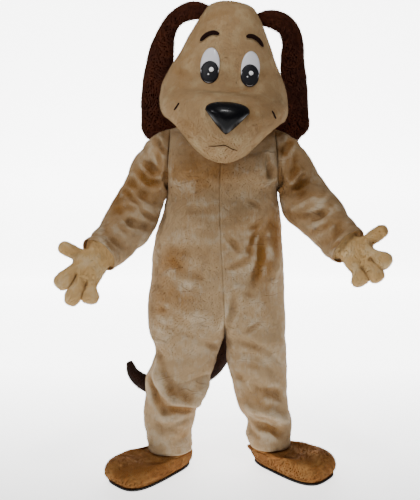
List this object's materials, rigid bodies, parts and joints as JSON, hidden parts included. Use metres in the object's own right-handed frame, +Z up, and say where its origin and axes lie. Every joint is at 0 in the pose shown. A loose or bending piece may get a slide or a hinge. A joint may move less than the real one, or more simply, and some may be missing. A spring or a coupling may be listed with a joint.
{
  "type": "dog mascot costume",
  "caption": "Full-body plush dog mascot costume standing as worn: foam head with long hanging ears, one-piece suit with a tail, mitts and padded feet, all open inside.",
  "frame": {"origin": "centre of the shoulders, on the standing axis of the figure, level with the body's rest on the wearer's shoulders, 1.36 m above the soles", "axes": "+Z up, -Y the way the mascot faces, +X towards the wearer's left"},
  "size_m": [1.2397, 0.6992, 1.8732],
  "materials": {
    "plush": "short-pile plush",
    "head_plush": "short-pile plush over foam",
    "glove_plush": "short-pile plush",
    "ear_plush": "dark short-pile plush",
    "foot_plush": "short-pile plush",
    "tail_plush": "dark short-pile plush",
    "eye_white": "gloss",
    "black_plastic": "gloss",
    "brow_felt": "felt",
    "sole_rubber": "matte"
  },
  "bodies": {
    "root": {"front_right_top": "plush", "front_right_middle": "plush", "front_right_leg": "plush", "front_left_top": "plush", "front_left_middle": "plush", "front_left_leg": "plush", "back_right_top": "plush", "back_right_middle": "plush", "back_right_leg": "plush", "back_left_top": "plush", "back_left_middle": "plush", "back_left_leg": "plush", "sleeve_right_upper": "plush", "sleeve_right_lower": "plush", "sleeve_left_upper": "plush", "sleeve_left_lower": "plush", "head_face": "head_plush", "head_muzzle_right": "head_plush", "head_muzzle_left": "head_plush", "head_jaw_right": "head_plush", "head_jaw_left": "head_plush", "head_back_right": "head_plush", "head_back_left": "head_plush", "eye_white_right": "eye_white", "pupil_right": "black_plastic", "brow_right": "brow_felt", "eye_white_left": "eye_white", "pupil_left": "black_plastic", "brow_left": "brow_felt", "nose": "black_plastic", "ear_right": "ear_plush", "ear_left": "ear_plush", "tail": "tail_plush", "glove_right_palm": "glove_plush", "glove_right_fingers": "glove_plush", "glove_left_palm": "glove_plush", "glove_left_fingers": "glove_plush", "foot_upper_right": "foot_plush", "foot_sole_right": "sole_rubber", "foot_upper_left": "foot_plush", "foot_sole_left": "sole_rubber"}
  },
  "joints": []
}
